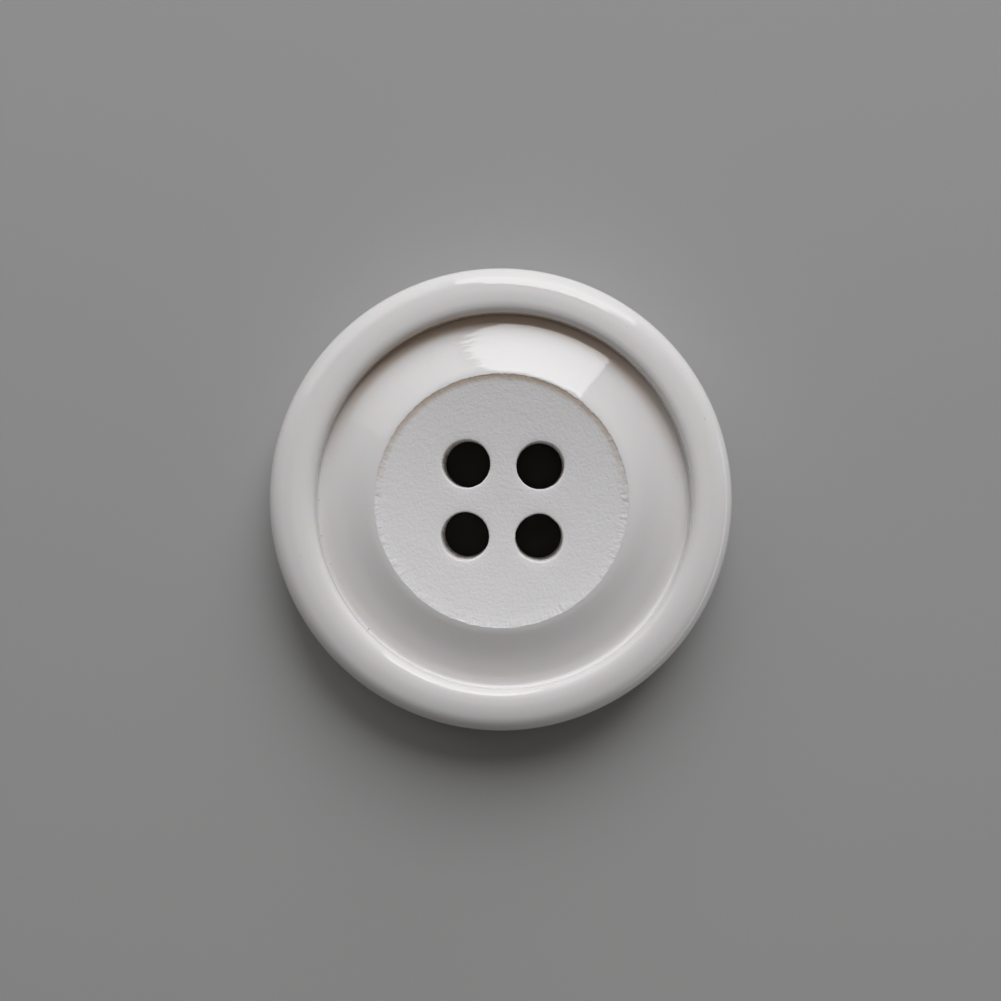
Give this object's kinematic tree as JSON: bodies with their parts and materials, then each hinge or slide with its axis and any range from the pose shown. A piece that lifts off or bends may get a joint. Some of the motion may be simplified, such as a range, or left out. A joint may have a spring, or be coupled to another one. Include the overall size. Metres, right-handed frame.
{
  "type": "sew-on button",
  "caption": "Round sew-on coat button with a raised rounded rim, a sloping cove and a recessed matt centre pierced for thread.",
  "frame": {"origin": "middle of the flat back face", "axes": "+Z out of the front face, thread holes square to +X and +Y"},
  "size_m": [0.0254, 0.0254, 0.0044],
  "materials": {
    "body_gloss": "polished white resin, slightly translucent",
    "insert_matt": "matt turned white resin with a fine grain"
  },
  "bodies": {
    "root": {"button_body": "body_gloss", "centre_insert": "insert_matt"}
  },
  "joints": []
}
